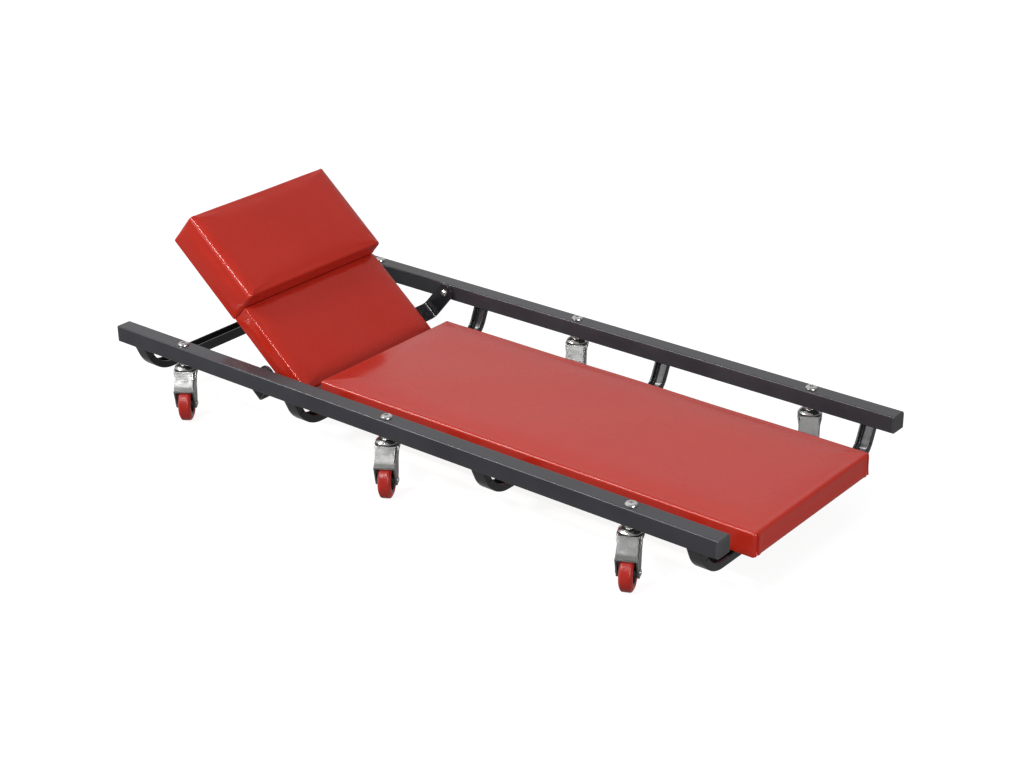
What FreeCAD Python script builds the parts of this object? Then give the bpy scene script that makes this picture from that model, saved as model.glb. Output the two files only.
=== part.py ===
import FreeCAD, Part
import os
import math
import Sketcher
from FreeCAD import Vector, Rotation, Placement

# Mechanics creeper: two square side rails joined by four bowed pressed-steel
# cross straps, a fixed padded bed, a tilting padded backrest with a raised
# headrest on a U-shaped yoke, and six swivel casters.
# Frame: +Z up, Z = 0 on the floor, X along the rails (head end at -X, foot
# end at +X), Y across (-Y is the user's right-hand side when lying on it).

doc = FreeCAD.newDocument("mechanics_creeper")
sheet = doc.addObject("Spreadsheet::Sheet", "dims")

DIMS = [
    # side rails
    ("overall_length", 1020.0), ("rail_centre", 202.0), ("rail_size", 24.0),
    ("rail_wall", 1.5), ("rail_corner", 2.0), ("rail_top", 108.0),
    # end caps
    ("cap_flange", 5.0), ("cap_plug", 14.0), ("cap_chamfer", 2.6), ("cap_play", 0.1),
    # cross straps
    ("strap_one", -476.0), ("strap_two", -180.0), ("strap_three", 145.3), ("strap_four", 467.5),
    ("strap_width", 20.0), ("strap_gauge", 2.5),
    ("strap_seat", 50.0), ("strap_seat_out", 131.0), ("strap_seat_in", 126.0),
    ("strap_rim", 45.6), ("strap_rim_end", 194.8), ("strap_rim_corner", 177.7), ("strap_rim_radius", 37.0),
    ("strap_base", 35.6), ("strap_base_end", 205.7), ("strap_base_corner", 184.2), ("strap_base_radius", 47.0),
    # bed
    ("bed_head", -191.0), ("bed_foot", 508.0), ("pad_half", 133.5), ("pad_top", 81.0), ("pad_edge", 5.0),
    ("board_inset", 3.0), ("board_gauge", 9.0), ("board_corner", 12.0), ("hem_gauge", 0.8),
    ("bed_screw_row", 92.0), ("screw_shank", 2.2), ("screw_head", 4.4), ("screw_head_height", 2.6), ("screw_reach", 7.0),
    # backrest, in its own frame with the pivot at the origin
    ("pivot_along", -238.0), ("pivot_height", 96.0), ("tilt_deg", 40.0),
    ("back_under", -45.5), ("back_lower_top", -15.0), ("back_low_end", 42.0),
    ("pillow_start", -108.0), ("pillow_end", -254.0), ("pillow_top", 10.0), ("pillow_side_radius", 17.0), ("pillow_end_radius", 12.0),
    # yoke
    ("yoke_width", 27.0), ("yoke_gauge", 3.0), ("yoke_outer", 186.5), ("yoke_crest", 13.5), ("yoke_bend", 10.0),
    ("yoke_screw_inner", 45.0), ("yoke_screw_outer", 108.0), ("yoke_hole", 4.05),
    # pivot hardware
    ("pivot_shoulder", 4.0), ("pivot_head", 5.2), ("pivot_head_height", 3.4), ("pivot_thread", 3.0), ("pivot_gap", 0.3),
    ("washer_radius", 11.5), ("washer_bore", 4.2), ("nut_body", 4.6), ("nut_bulge", 6.4), ("nut_length", 11.0),
    # casters
    ("caster_head_along", -383.0), ("caster_mid_along", -5.0), ("caster_foot_along", 379.0),
    ("caster_screw_head", 8.0), ("caster_screw_head_height", 3.6), ("caster_screw_shank", 3.0), ("caster_screw_length", 26.0),
    ("sleeve_radius", 5.0), ("neck_radius", 7.6), ("neck_height", 4.4), ("shaft_radius", 4.0), ("foot_head_radius", 7.0), ("foot_head_height", 2.6),
    ("race_radius", 15.2), ("race_gauge", 1.5), ("race_rim_under", 74.0), ("race_crown", 79.6),
    ("ball_radius", 1.5), ("ball_pitch", 11.0), ("ball_centre", 74.6),
    ("crown_top", 72.7), ("fork_gauge", 2.0), ("fork_half", 14.0), ("shoulder_half", 16.2), ("shoulder_low", 60.0), ("shoulder_high", 68.5),
    ("fork_hole", 4.05), ("trail", 11.5), ("wheel_radius", 25.0),
    ("hood_low_along", 27.6), ("hood_low", 47.2), ("hood_high_along", 13.0), ("hood_high_half", 11.0), ("hood_low_half", 14.2),
    ("leg_half_end", 7.5), ("leg_end_radius", 7.3), ("fork_axle_hole", 3.05),
    ("axle_radius", 3.0), ("bush_bore", 3.06), ("bush_radius", 4.6), ("bush_half", 11.4), ("hub_boss", 7.4), ("hub_boss_half", 11.0), ("hub_web_half", 2.6), ("hub_web_out", 14.0),
    ("hub_rim", 17.0), ("hub_rim_half", 7.8), ("tread_half", 8.8), ("tread_shoulder", 5.0),
    ("axle_head", 4.8), ("axle_head_height", 1.8),
]
VAL = {}
for row, (word, number) in enumerate(DIMS, start=1):
    sheet.set("A%d" % row, word)
    sheet.set("B%d" % row, str(number))
    sheet.setAlias("B%d" % row, word)
doc.recompute()
for word, number in DIMS:
    VAL[word] = float(sheet.get(word))


class Q:
    """A number with the expression that yields it from the sheet."""

    def __init__(self, value, text):
        self.v = value
        self.e = text

    def __add__(self, other):
        other = q(other)
        return Q(self.v + other.v, "(%s + %s)" % (self.e, other.e))

    def __radd__(self, other):
        return q(other) + self

    def __sub__(self, other):
        other = q(other)
        return Q(self.v - other.v, "(%s - %s)" % (self.e, other.e))

    def __rsub__(self, other):
        return q(other) - self

    def __mul__(self, other):
        other = q(other)
        return Q(self.v * other.v, "(%s * %s)" % (self.e, other.e))

    def __rmul__(self, other):
        return q(other) * self

    def __truediv__(self, other):
        other = q(other)
        return Q(self.v / other.v, "(%s / %s)" % (self.e, other.e))

    def __neg__(self):
        return Q(-self.v, "(0 - %s)" % self.e)


def q(x):
    return x if isinstance(x, Q) else Q(float(x), "%.6f" % float(x) if x >= 0 else "(0 - %.6f)" % (-float(x)))


class Words:
    def __getattr__(self, word):
        return Q(VAL[word], "dims." + word)


D = Words()
NODES = []


def bind(obj, prop, value):
    value = q(value)
    obj.setExpression(prop, value.e)


def new_body(label):
    body = doc.addObject("PartDesign::Body", label)
    body.Label = label
    return body


def origin_plane(body, role):
    for feature in body.Origin.OriginFeatures:
        if feature.Role == role:
            return feature
    raise RuntimeError("no plane " + role)


def attach(body, name, role, offset=0):
    sk = body.newObject("Sketcher::SketchObject", name)
    sk.AttachmentSupport = [(origin_plane(body, role), "")]
    sk.MapMode = "FlatFace"
    offset = q(offset)
    sk.AttachmentOffset = Placement(Vector(0, 0, offset.v), Rotation())
    sk.setExpression(".AttachmentOffset.Base.z", offset.e)
    return sk


def add_loop(sk, points):
    """Closed polygon with every corner held by two bound dimensions."""
    pts = [(q(a), q(b)) for a, b in points]
    first = sk.GeometryCount
    n = len(pts)
    for i in range(n):
        a, b = pts[i], pts[(i + 1) % n]
        sk.addGeometry(Part.LineSegment(Vector(a[0].v, a[1].v, 0), Vector(b[0].v, b[1].v, 0)), False)
    for i in range(n):
        sk.addConstraint(Sketcher.Constraint("Coincident", first + i, 2, first + (i + 1) % n, 1))
    for i in range(n):
        for axis, value in (("DistanceX", pts[i][0]), ("DistanceY", pts[i][1])):
            k = sk.addConstraint(Sketcher.Constraint(axis, -1, 1, first + i, 1, value.v))
            sk.setExpression("Constraints[%d]" % k, value.e)


def add_circle(sk, x, y, r):
    x, y, r = q(x), q(y), q(r)
    g = sk.addGeometry(Part.Circle(Vector(x.v, y.v, 0), Vector(0, 0, 1), r.v), False)
    for axis, value in (("DistanceX", x), ("DistanceY", y)):
        k = sk.addConstraint(Sketcher.Constraint(axis, -1, 1, g, 3, value.v))
        sk.setExpression("Constraints[%d]" % k, value.e)
    k = sk.addConstraint(Sketcher.Constraint("Radius", g, r.v))
    sk.setExpression("Constraints[%d]" % k, r.e)


def both_sides(feature):
    if hasattr(feature, "SideType"):
        feature.SideType = "Symmetric"
    else:
        feature.Midplane = True


def pad(body, name, sk, length, symmetric=False, reverse=False):
    f = body.newObject("PartDesign::Pad", name)
    f.Profile = sk
    f.Length = q(length).v
    bind(f, "Length", length)
    if symmetric:
        both_sides(f)
    f.Reversed = reverse
    sk.Visibility = False
    doc.recompute()
    return f


def pocket(body, name, sk, length=None, symmetric=False, reverse=False):
    before = body.Shape.Volume
    f = body.newObject("PartDesign::Pocket", name)
    f.Profile = sk
    if length is None:
        f.Type = "ThroughAll"
    else:
        f.Length = q(length).v
        bind(f, "Length", length)
    if symmetric:
        both_sides(f)
    f.Reversed = reverse
    doc.recompute()
    if not body.Shape.Volume < before - 1e-6:
        raise RuntimeError("pocket %s of %s cut nothing" % (name, body.Label))
    return f


def revolve(body, name, sk, axis="V_Axis"):
    f = body.newObject("PartDesign::Revolution", name)
    f.Profile = sk
    f.ReferenceAxis = (sk, [axis])
    f.Angle = 360.0
    doc.recompute()
    return f


def pick_edges(shape, test):
    names = []
    for i, edge in enumerate(shape.Edges):
        if test(edge):
            names.append("Edge%d" % (i + 1))
    return names


def along(edge, direction):
    if edge.Curve.TypeId != "Part::GeomLine":
        return False
    d = edge.Vertexes[-1].Point.sub(edge.Vertexes[0].Point)
    return d.Length > 1e-6 and abs(abs(d.normalize().dot(direction)) - 1) < 1e-6


def dress(body, kind, name, tip, test, size):
    names = pick_edges(tip.Shape, test)
    if not names:
        raise RuntimeError("no edges for %s on %s" % (name, body.Label))
    f = body.newObject("PartDesign::" + kind, name)
    f.Base = (tip, names)
    prop = "Radius" if kind == "Fillet" else "Size"
    setattr(f, prop, q(size).v)
    bind(f, prop, size)
    doc.recompute()
    return f


def fillet(body, name, tip, test, size):
    return dress(body, "Fillet", name, tip, test, size)


def chamfer(body, name, tip, test, size):
    return dress(body, "Chamfer", name, tip, test, size)


def near(a, b, tol=1e-4):
    return abs(a - b) < tol


XD, YD, ZD = Vector(1, 0, 0), Vector(0, 1, 0), Vector(0, 0, 1)


def mid(edge):
    return edge.CenterOfMass


def place(obj, base, rotation=Rotation()):
    """Put an object at a base given by three bound values."""
    b = [q(c) for c in base]
    obj.Placement = Placement(Vector(b[0].v, b[1].v, b[2].v), rotation)
    for axis, value in zip("xyz", b):
        obj.setExpression(".Placement.Base." + axis, value.e)


def keep(obj, label=None):
    if label:
        obj.Label = label
    NODES.append(obj)
    return obj


def copies(label, master, placements):
    """One node that holds the same piece at several places."""
    obj = doc.addObject("Part::Feature", label)
    obj.Label = label
    shapes = []
    for pl in placements:
        one = master.Shape.copy()
        one.Placement = pl.multiply(one.Placement)
        shapes.append(one)
    obj.Shape = Part.makeCompound(shapes)
    return keep(obj)


rail_mid = D.rail_top - D.rail_size / 2
rail_under = D.rail_top - D.rail_size
CASTER_X = [("head", D.caster_head_along), ("mid", D.caster_mid_along), ("foot", D.caster_foot_along)]

# ---------------------------------------------------------------- side rails
for label, sign in (("side_rail_right", -1), ("side_rail_left", 1)):
    body = new_body(label)
    half = D.rail_size / 2
    sk = attach(body, label + "_section", "YZ_Plane")
    add_loop(sk, [(-half, -half), (half, -half), (half, half), (-half, half)])
    tip = pad(body, label + "_bar", sk, D.overall_length - D.cap_flange * 2, symmetric=True)
    tip = fillet(body, label + "_corners", tip, lambda e: along(e, XD), D.rail_corner)
    inner = half - D.rail_wall
    sk = attach(body, label + "_bore", "YZ_Plane")
    add_loop(sk, [(-inner, -inner), (inner, -inner), (inner, inner), (-inner, inner)])
    pocket(body, label + "_hollow", sk, D.overall_length + 10, symmetric=True)
    # screw holes in the top wall, larger sleeve holes in the bottom wall
    sk = attach(body, label + "_screw_holes", "XY_Plane", half + 1)
    for word, x in CASTER_X:
        add_circle(sk, x, 0, D.caster_screw_shank + 0.1)
    pocket(body, label + "_top_drill", sk, D.rail_wall + 3)
    sk = attach(body, label + "_sleeve_holes", "XY_Plane", -half - 1)
    for word, x in CASTER_X:
        add_circle(sk, x, 0, D.sleeve_radius + 0.05)
    pocket(body, label + "_bottom_drill", sk, D.rail_wall + 3, reverse=True)
    # hole for the pivot's rivet nut in the inner wall (XZ plane looks along -Y)
    sk = attach(body, label + "_pivot_hole", "XZ_Plane", half + 1 if sign > 0 else -half - 1)
    add_circle(sk, D.pivot_along, D.pivot_height - rail_mid, D.nut_body)
    pocket(body, label + "_pivot_drill", sk, D.rail_wall + 3, reverse=(sign < 0))
    place(body, (0, D.rail_centre * sign, rail_mid))
    keep(body)

# ------------------------------------------------------------- rail end caps
body = new_body("end_cap_master")
half = D.rail_size / 2
sk = attach(body, "cap_face", "YZ_Plane")
add_loop(sk, [(-half, -half), (half, -half), (half, half), (-half, half)])
tip = pad(body, "cap_plate", sk, D.cap_flange)
tip = chamfer(body, "cap_bevel", tip, lambda e: near(mid(e).x, VAL["cap_flange"]), D.cap_chamfer)
tip = fillet(body, "cap_corners", tip, lambda e: along(e, XD), D.rail_corner)
inner = half - D.rail_wall - D.cap_play
sk = attach(body, "cap_stem", "YZ_Plane")
add_loop(sk, [(-inner, -inner), (inner, -inner), (inner, inner), (-inner, inner)])
tip = pad(body, "cap_plug_block", sk, D.cap_plug, reverse=True)
core = inner - 2.2
sk = attach(body, "cap_core", "YZ_Plane", -D.cap_plug - 1)
add_loop(sk, [(-core, -core), (core, -core), (core, core), (-core, core)])
pocket(body, "cap_core_cut", sk, D.cap_plug + 1, reverse=True)
cap_master = body
doc.recompute()
xe = VAL["overall_length"] / 2 - VAL["cap_flange"]
zc = VAL["rail_top"] - VAL["rail_size"] / 2
spots = []
for sy in (-1, 1):
    spots.append(Placement(Vector(xe, sy * VAL["rail_centre"], zc), Rotation()))
    spots.append(Placement(Vector(-xe, sy * VAL["rail_centre"], zc), Rotation(ZD, 180)))
copies("rail_end_caps", cap_master, spots)

# -------------------------------------------------------- bowed cross straps
def strap(label, centre, drilled):
    body = new_body(label)
    we, wc, zt = D.strap_rim_end, D.strap_rim_corner, D.strap_rim
    le, lc, zl = D.strap_base_end, D.strap_base_corner, D.strap_base
    top = rail_under
    so, si, zs = D.strap_seat_out, D.strap_seat_in, D.strap_seat
    sk = attach(body, label + "_profile", "YZ_Plane")
    add_loop(sk, [(-we, top), (-wc, zt), (-so, zt), (-si, zs), (si, zs), (so, zt), (wc, zt), (we, top),
                  (le, top), (lc, zl), (-lc, zl), (-le, top)])
    tip = pad(body, label + "_blank", sk, D.strap_width, symmetric=True)
    # hollow of the channel, open inwards and upwards
    g = D.strap_gauge
    hz = zl + g
    ho = le - g * 1.094 + 0.443
    hc = lc - g * 0.651
    sk = attach(body, label + "_channel", "YZ_Plane")
    add_loop(sk, [(-ho, top + 1), (-hc, hz), (hc, hz), (ho, top + 1)])
    tip = pocket(body, label + "_channel_cut", sk, D.strap_width - g * 2, symmetric=True)
    tip = fillet(body, label + "_channel_bend", tip,
                 lambda e: along(e, XD) and near(mid(e).z, hz.v, 1e-3) and near(abs(mid(e).y), hc.v, 1e-3),
                 D.strap_base_radius - g)
    tip = fillet(body, label + "_rim_bend", tip,
                 lambda e: along(e, XD) and near(mid(e).z, zt.v) and abs(mid(e).y) > so.v + 1, D.strap_rim_radius)
    tip = fillet(body, label + "_base_bend", tip,
                 lambda e: along(e, XD) and near(mid(e).z, zl.v), D.strap_base_radius)
    if drilled:
        sk = attach(body, label + "_holes", "XY_Plane", hz + 1)
        add_circle(sk, 0, D.bed_screw_row, D.screw_shank + 0.15)
        add_circle(sk, 0, -D.bed_screw_row, D.screw_shank + 0.15)
        pocket(body, label + "_drill", sk, g + 3)
    place(body, (centre, 0, 0))
    keep(body)


strap("cross_strap_head", D.strap_one, False)
strap("cross_strap_waist", D.strap_two, True)
strap("cross_strap_hip", D.strap_three, True)
strap("cross_strap_foot", D.strap_four, True)

# ------------------------------------------------------------------ bed board
def board(label, x0, x1, half_y, z0, z1, holes, hole_depth):
    body = new_body(label)
    sk = attach(body, label + "_outline", "XY_Plane", z0)
    add_loop(sk, [(x0, -half_y), (x1, -half_y), (x1, half_y), (x0, half_y)])
    tip = pad(body, label + "_sheet", sk, z1 - z0)
    tip = fillet(body, label + "_corners", tip, lambda e: along(e, ZD), D.board_corner)
    sk = attach(body, label + "_pilots", "XY_Plane", z0 - 1)
    for x, y in holes:
        add_circle(sk, x, y, D.screw_shank)
    pocket(body, label + "_pilot_drill", sk, hole_depth + 1, reverse=True)
    return body


def cushion(label, x0, x1, half_y, z0, z1, edge, board_box, side_radius=None, end_x=None, end_radius=None):
    """Padded block, hollow below where its board sits."""
    body = new_body(label)
    sk = attach(body, label + "_outline", "XY_Plane", z0)
    add_loop(sk, [(x0, -half_y), (x1, -half_y), (x1, half_y), (x0, half_y)])
    tip = pad(body, label + "_block", sk, z1 - z0)
    if side_radius is None:
        tip = fillet(body, label + "_corners", tip, lambda e: along(e, ZD), edge)
        tip = fillet(body, label + "_edges", tip, lambda e: near(mid(e).z, z1.v, 1e-3) and near(e.BoundBox.ZLength, 0, 1e-3), edge)
    else:
        tip = fillet(body, label + "_corners", tip,
                     lambda e: along(e, ZD) and near(mid(e).x, end_x.v, 1e-3), edge)
        tip = fillet(body, label + "_edges", tip,
                     lambda e: along(e, XD) and near(mid(e).z, z1.v, 1e-3), side_radius)
    bx0, bx1, by, bz = board_box
    sk = attach(body, label + "_board_seat", "XY_Plane", z0 - 1)
    add_loop(sk, [(bx0, -by), (bx1, -by), (bx1, by), (bx0, by)])
    pocket(body, label + "_board_cut", sk, bz - z0 + 1, reverse=True)
    return body


inset = D.board_inset
# the cover's hem is folded under the boards, so the boards sit that much higher
bz0, bz1 = D.strap_seat + D.hem_gauge, D.strap_seat + D.hem_gauge + D.board_gauge
rows = []
for x in (D.strap_two, D.strap_three, D.strap_four):
    for s in (-1, 1):
        rows.append((x, D.bed_screw_row * s))
keep(board("bed_board", D.bed_head + inset, D.bed_foot - inset, D.pad_half - inset, bz0, bz1, rows, D.screw_reach))
keep(cushion("bed_cushion", D.bed_head, D.bed_foot, D.pad_half, D.strap_seat, D.pad_top, D.pad_edge,
             (D.bed_head + inset, D.bed_foot - inset, D.pad_half - inset, bz1)))

# ------------------------------------------------------- pan-head screw shape
def pan_screw(label, head_r, head_h, shank_r, length, slot):
    """Screw along Z with the underside of its head at Z = 0 and shank downwards."""
    body = new_body(label)
    sk = attach(body, label + "_half", "XZ_Plane")
    # revolved outline: shank, underside, rounded head
    add_loop(sk, [(0, -length), (shank_r * 0.55, -length), (shank_r, -length + shank_r * 0.7), (shank_r, 0),
                  (head_r * 0.94, 0), (head_r, head_h * 0.2), (head_r * 0.95, head_h * 0.5), (head_r * 0.8, head_h * 0.78),
                  (head_r * 0.55, head_h * 0.94), (0, head_h)])
    revolve(body, label + "_turn", sk)
    # cross recess
    sk = attach(body, label + "_recess", "XY_Plane", head_h + 0.5)
    a, b = head_r * 0.42, head_r * 0.1
    add_loop(sk, [(-a, -b), (-b, -b), (-b, -a), (b, -a), (b, -b), (a, -b), (a, b), (b, b), (b, a), (-b, a), (-b, b), (-a, b)])
    pocket(body, label + "_cross", sk, slot + 0.5)
    return body


screw = pan_screw("bed_screw_master", D.screw_head, D.screw_head_height, D.screw_shank, D.screw_reach + D.hem_gauge + D.strap_seat - D.strap_base, D.screw_head_height * 0.7)
flip = Rotation(XD, 180)
spots = [Placement(Vector(x.v, y.v, VAL["strap_base"]), flip) for x, y in rows]
copies("bed_screws", screw, spots)

# ------------------------------------------------------------------- backrest
tilt = Placement(Vector(VAL["pivot_along"], 0, VAL["pivot_height"]), Rotation(YD, VAL["tilt_deg"]))


def tilt_up(body):
    place(body, (D.pivot_along, 0, D.pivot_height), Rotation(YD, VAL["tilt_deg"]))
    body.setExpression(".Placement.Rotation.Angle", "dims.tilt_deg")
    keep(body)


uz0, uz1 = D.back_under + D.hem_gauge, D.back_under + D.hem_gauge + D.board_gauge
yoke_rows = []
for y in (D.yoke_screw_inner, D.yoke_screw_outer):
    for s in (-1, 1):
        yoke_rows.append((q(0), y * s))
tilt_up(board("backrest_board", D.pillow_end + inset, D.back_low_end - inset, D.pad_half - inset, uz0, uz1, yoke_rows, D.screw_reach))
tilt_up(cushion("backrest_cushion", D.pillow_start, D.back_low_end, D.pad_half, D.back_under, D.back_lower_top, D.pad_edge,
                (D.pillow_start - 5, D.back_low_end - inset, D.pad_half - inset, uz1),
                side_radius=D.pad_edge, end_x=D.back_low_end))
tilt_up(cushion("headrest_pillow", D.pillow_end, D.pillow_start, D.pad_half, D.back_under, D.pillow_top, D.pillow_end_radius,
                (D.pillow_end + inset, D.pillow_start + 5, D.pad_half - inset, uz1),
                side_radius=D.pillow_side_radius, end_x=D.pillow_end))

# yoke: a bent flat bar under the board, its two ears on the pivot bolts
body = new_body("backrest_yoke")
yo, yi = D.yoke_outer, D.yoke_outer - D.yoke_gauge
nb, nt = D.back_under - D.yoke_gauge, D.back_under
sk = attach(body, "yoke_profile", "YZ_Plane")
add_loop(sk, [(-yo, D.yoke_crest), (-yo, nb), (yo, nb), (yo, D.yoke_crest), (yi, D.yoke_crest), (yi, nt), (-yi, nt), (-yi, D.yoke_crest)])
tip = pad(body, "yoke_bar", sk, D.yoke_width, symmetric=True)
tip = fillet(body, "yoke_outer_bend", tip, lambda e: along(e, XD) and near(mid(e).z, nb.v), D.yoke_bend)
tip = fillet(body, "yoke_inner_bend", tip, lambda e: along(e, XD) and near(mid(e).z, nt.v), D.yoke_bend - D.yoke_gauge)
tip = fillet(body, "yoke_ears", tip, lambda e: along(e, YD) and near(mid(e).z, VAL["yoke_crest"]), D.yoke_width / 2 - 0.05)
sk = attach(body, "yoke_pivots", "XZ_Plane")
add_circle(sk, 0, 0, D.yoke_hole)
tip = pocket(body, "yoke_pivot_drill", sk, D.yoke_outer * 2 + 10, symmetric=True)
sk = attach(body, "yoke_screw_holes", "XY_Plane", nt + 1)
for x, y in yoke_rows:
    add_circle(sk, x, y, D.screw_shank + 0.15)
pocket(body, "yoke_screw_drill", sk, D.yoke_gauge + 3)
tilt_up(body)

screw2 = pan_screw("yoke_screw_master", D.screw_head, D.screw_head_height, D.screw_shank, D.screw_reach + D.hem_gauge + D.yoke_gauge, D.screw_head_height * 0.7)
spots = [tilt.multiply(Placement(Vector(x.v, y.v, nb.v), flip)) for x, y in yoke_rows]
copies("yoke_screws", screw2, spots)

# pivot hardware, turned about the Y axis of the pivot (drawn along local Z)
def turned(label, outline):
    body = new_body(label)
    sk = attach(body, label + "_half", "XZ_Plane")
    add_loop(sk, outline)
    revolve(body, label + "_turn", sk)
    return body


pz, px = VAL["pivot_height"], VAL["pivot_along"]
wall = D.rail_centre - D.rail_size / 2
# local Z = 0 at the rail's inner wall, +Z into the rail
head_in = wall - D.yoke_outer + D.yoke_gauge + D.pivot_gap
bolt = new_body("pivot_bolt_master")
sk = attach(bolt, "pivot_bolt_half", "XZ_Plane")
hh = D.pivot_head_height
add_loop(sk, [(0, -head_in - hh), (D.pivot_head * 0.6, -head_in - hh), (D.pivot_head * 0.92, -head_in - hh * 0.6), (D.pivot_head, -head_in - hh * 0.2),
              (D.pivot_head, -head_in), (D.pivot_shoulder, -head_in), (D.pivot_shoulder, 0), (D.pivot_thread, 0),
              (D.pivot_thread, D.nut_length - 1), (0, D.nut_length - 1)])
revolve(bolt, "pivot_bolt_turn", sk)
sk = attach(bolt, "pivot_bolt_socket", "XY_Plane", -head_in - hh - 1)
hexr = D.pivot_head * 0.46
hex_pts = [(hexr * math.cos(math.radians(60 * i)), hexr * math.sin(math.radians(60 * i))) for i in range(6)]
add_loop(sk, hex_pts)
pocket(bolt, "pivot_bolt_socket_cut", sk, hh * 0.7 + 1, reverse=True)
washer = turned("pivot_washer_master", [(D.washer_bore, 0), (D.washer_radius, 0), (D.washer_radius, -(wall - D.yoke_outer - D.pivot_gap)),
                                         (D.washer_bore, -(wall - D.yoke_outer - D.pivot_gap))])
rnut = turned("pivot_nut_master", [(D.pivot_thread, 0), (D.nut_body, 0), (D.nut_body, D.rail_wall), (D.nut_bulge, D.rail_wall), (D.nut_bulge, D.rail_wall + 2.5),
                                    (D.nut_body, D.rail_wall + 4), (D.nut_body, D.nut_length), (D.pivot_thread, D.nut_length)])
sides = [Placement(Vector(px, wall.v, pz), Rotation(XD, -90)), Placement(Vector(px, -wall.v, pz), Rotation(XD, 90))]
copies("pivot_bolts", bolt, sides)
copies("pivot_washers", washer, sides)
copies("pivot_rivet_nuts", rnut, sides)

# -------------------------------------------------------------------- casters
# local frame: Z up through the kingpin from the floor, +X towards the wheel
caster_screw = pan_screw("caster_screw_master", D.caster_screw_head, D.caster_screw_head_height, D.caster_screw_shank, D.caster_screw_length, D.caster_screw_head_height * 0.75)
neck_low = rail_under - D.neck_height
pin_head_top = D.crown_top - D.fork_gauge - 0.35
pin = turned("kingpin_master", [(0, pin_head_top - D.foot_head_height), (D.foot_head_radius * 0.8, pin_head_top - D.foot_head_height),
                                (D.foot_head_radius, pin_head_top - D.foot_head_height * 0.6), (D.foot_head_radius, pin_head_top),
                                (D.shaft_radius, pin_head_top), (D.shaft_radius, neck_low), (D.neck_radius - 0.8, neck_low), (D.neck_radius, neck_low + 0.8),
                                (D.neck_radius, rail_under), (D.sleeve_radius, rail_under), (D.sleeve_radius, D.rail_top - D.rail_wall),
                                (D.caster_screw_shank, D.rail_top - D.rail_wall), (D.caster_screw_shank, D.rail_top - D.caster_screw_length - 0.5),
                                (0, D.rail_top - D.caster_screw_length - 0.5)])
ru, rg, rr, rc = D.race_rim_under, D.race_gauge, D.race_radius, D.race_crown
# domed upper race: rolled rim, dome and flat collar against the neck
race = turned("race_master", [(D.shaft_radius, rc), (D.shaft_radius, rc - rg), (8.4, rc - rg), (10.6, rc - rg - 1.2), (12.6, rc - rg - 2.3), (rr - rg, ru + 1.2), (rr - rg, ru),
                              (rr - 0.5, ru), (rr, ru + 0.6), (rr, ru + 1.5), (rr - 1.0, ru + 2.6), (12.9, rc - 1.9), (11.0, rc - 0.8), (8.8, rc - 0.15), (D.neck_radius - 0.8, rc - 0.0)])
ball = doc.addObject("Part::Sphere", "ball_master")
ball.Radius = VAL["ball_radius"]
bind(ball, "Radius", D.ball_radius)
doc.recompute()


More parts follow.
